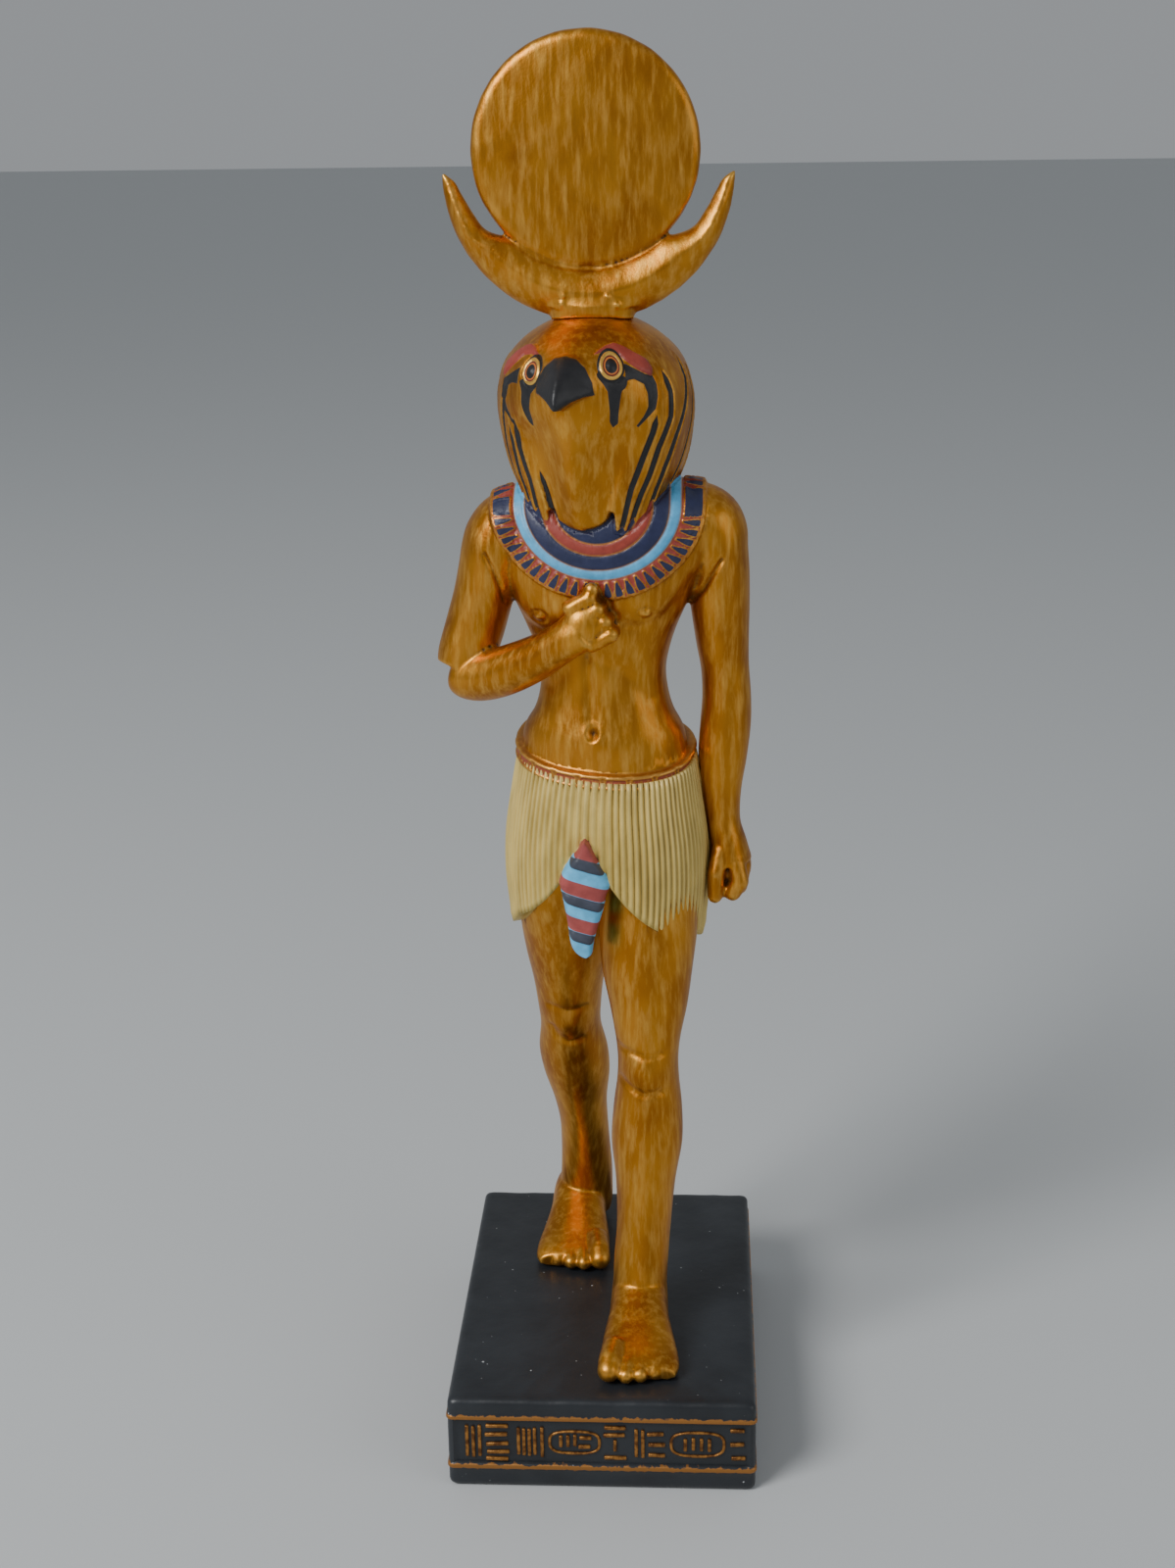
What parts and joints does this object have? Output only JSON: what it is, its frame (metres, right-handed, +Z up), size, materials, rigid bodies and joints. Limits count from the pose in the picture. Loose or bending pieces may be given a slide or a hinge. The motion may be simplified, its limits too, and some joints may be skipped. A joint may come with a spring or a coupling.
{
  "type": "falcon-headed moon god statuette",
  "caption": "Striding falcon-headed Egyptian moon god with a disc and crescent on its head, one fist on the breast, on a block base.",
  "frame": {"origin": "the middle of the base's underside", "axes": "+Z up through the figure, -Y the way the figure faces, +X its left side"},
  "size_m": [0.0686, 0.09, 0.2952],
  "materials": {
    "black_paint": "satin black paint over cast resin, with rubbed gilt relief",
    "gold_paint": "brushed antique gold paint over cast resin, with painted cloth and collar"
  },
  "bodies": {
    "root": {"base": "black_paint", "figure": "gold_paint", "headdress": "gold_paint"}
  },
  "joints": []
}
